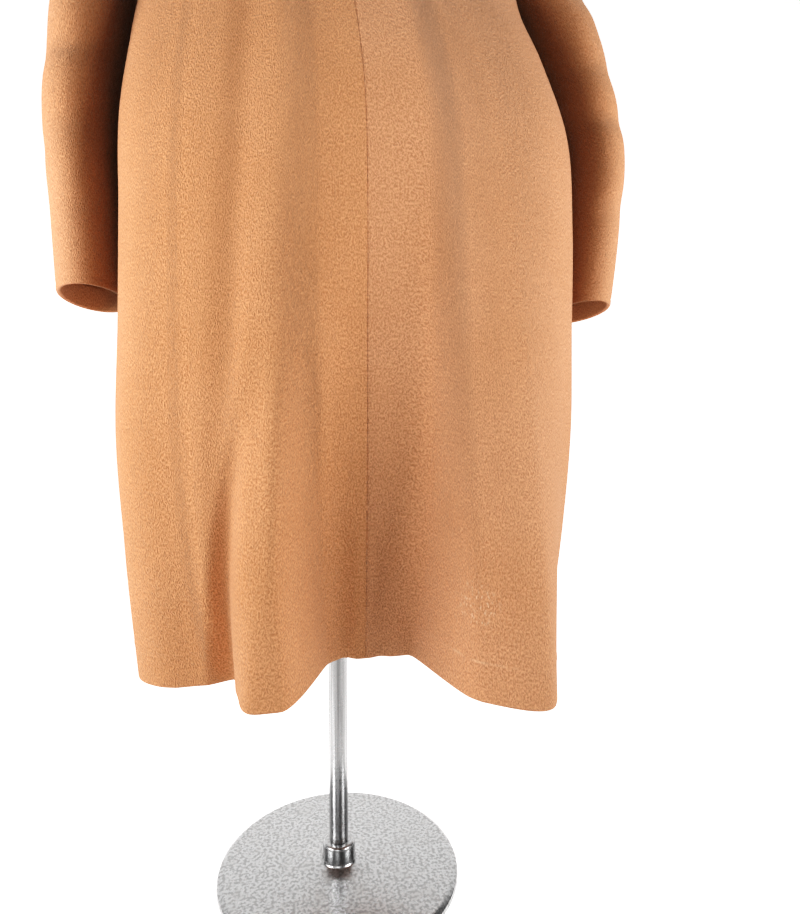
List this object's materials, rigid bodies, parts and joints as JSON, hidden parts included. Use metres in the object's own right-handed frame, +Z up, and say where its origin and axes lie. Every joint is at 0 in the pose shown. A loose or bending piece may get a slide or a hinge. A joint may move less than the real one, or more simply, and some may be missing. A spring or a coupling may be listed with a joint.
{
  "type": "wool overcoat on a dress form",
  "caption": "Long roomy wool overcoat with notched lapels, long sleeves and a plain back seam, on a limbless dress form with a chrome pole and a round base.",
  "frame": {"origin": "middle of the base's underside, on the floor, on the pole's axis", "axes": "+Z up along the pole, the coat's front faces -Y and the wearer's right side is at -X"},
  "size_m": [0.7971, 0.48, 1.6102],
  "materials": {
    "wool": "soft brushed nap",
    "horn": "polished",
    "form_cover": "plain woven",
    "wood": "satin",
    "chrome": "polished"
  },
  "bodies": {
    "root": {"back_right": "wool", "back_left": "wool", "front_right": "wool", "front_left": "wool", "lapel_right": "wool", "lapel_left": "wool", "collar": "wool", "sleeve_right": "wool", "sleeve_left": "wool", "button_top": "horn", "button_middle": "horn", "button_bottom": "horn", "form_torso": "form_cover", "form_cap": "wood", "pole": "chrome", "base": "chrome"}
  },
  "joints": []
}
